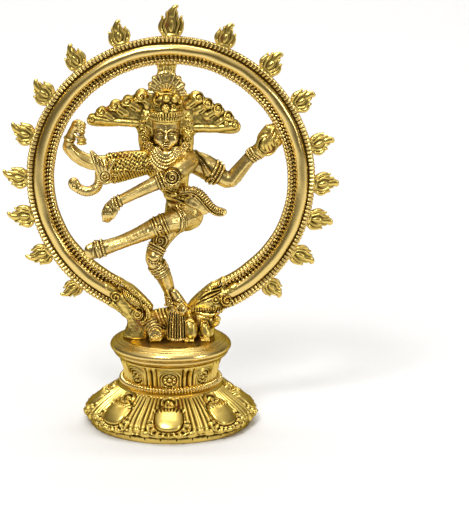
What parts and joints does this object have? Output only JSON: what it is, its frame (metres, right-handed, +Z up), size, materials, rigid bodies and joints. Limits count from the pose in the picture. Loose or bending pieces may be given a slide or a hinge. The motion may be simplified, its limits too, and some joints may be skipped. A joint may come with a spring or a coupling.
{
  "type": "brass nataraja statue",
  "caption": "Dancing four-armed figure in a ring of flames on a lotus pedestal, a rigid cast brass ornament.",
  "frame": {"origin": "on the ground, under the middle of the lotus pedestal and of the ring", "axes": "+Z up; -Y is the front, where the dancer looks; +X is to the right of someone who looks at the front"},
  "size_m": [0.1493, 0.0776, 0.1902],
  "materials": {
    "polished_brass": "polished",
    "cast_brass": "cast, with a dark patina in the recesses"
  },
  "bodies": {
    "root": {"rope_collar": "polished_brass", "pedestal_rim": "polished_brass", "dwarf_head": "polished_brass", "dwarf_skirt": "polished_brass", "standing_leg": "polished_brass", "raised_leg": "polished_brass", "sash": "polished_brass", "necklace": "polished_brass", "head": "polished_brass", "feather_fan": "polished_brass", "ear_rings": "polished_brass", "front_left_arm": "polished_brass", "blessing_hand": "polished_brass", "cobra": "polished_brass", "back_right_arm": "polished_brass", "back_left_arm": "polished_brass", "ring_arch": "polished_brass", "lotus_base": "cast_brass", "pedestal_waist": "cast_brass", "dwarf_body": "cast_brass", "dwarf_legs": "cast_brass", "makara_left": "cast_brass", "makara_right": "cast_brass", "crown_bridge": "cast_brass", "fire_bridge": "cast_brass", "hip_cloth": "cast_brass", "torso": "cast_brass", "side_hair": "cast_brass", "crown": "cast_brass", "hair_wing_left": "cast_brass", "hair_wing_right": "cast_brass", "front_right_arm": "cast_brass", "drum": "cast_brass", "fire_hand": "cast_brass", "flame_01": "cast_brass", "flame_02": "cast_brass", "flame_03": "cast_brass", "flame_04": "cast_brass", "flame_05": "cast_brass", "flame_06": "cast_brass", "flame_07": "cast_brass", "flame_08": "cast_brass", "flame_09": "cast_brass", "flame_10": "cast_brass", "flame_11": "cast_brass", "flame_12": "cast_brass", "flame_13": "cast_brass", "flame_14": "cast_brass", "flame_15": "cast_brass", "flame_16": "cast_brass", "flame_17": "cast_brass"}
  },
  "joints": []
}
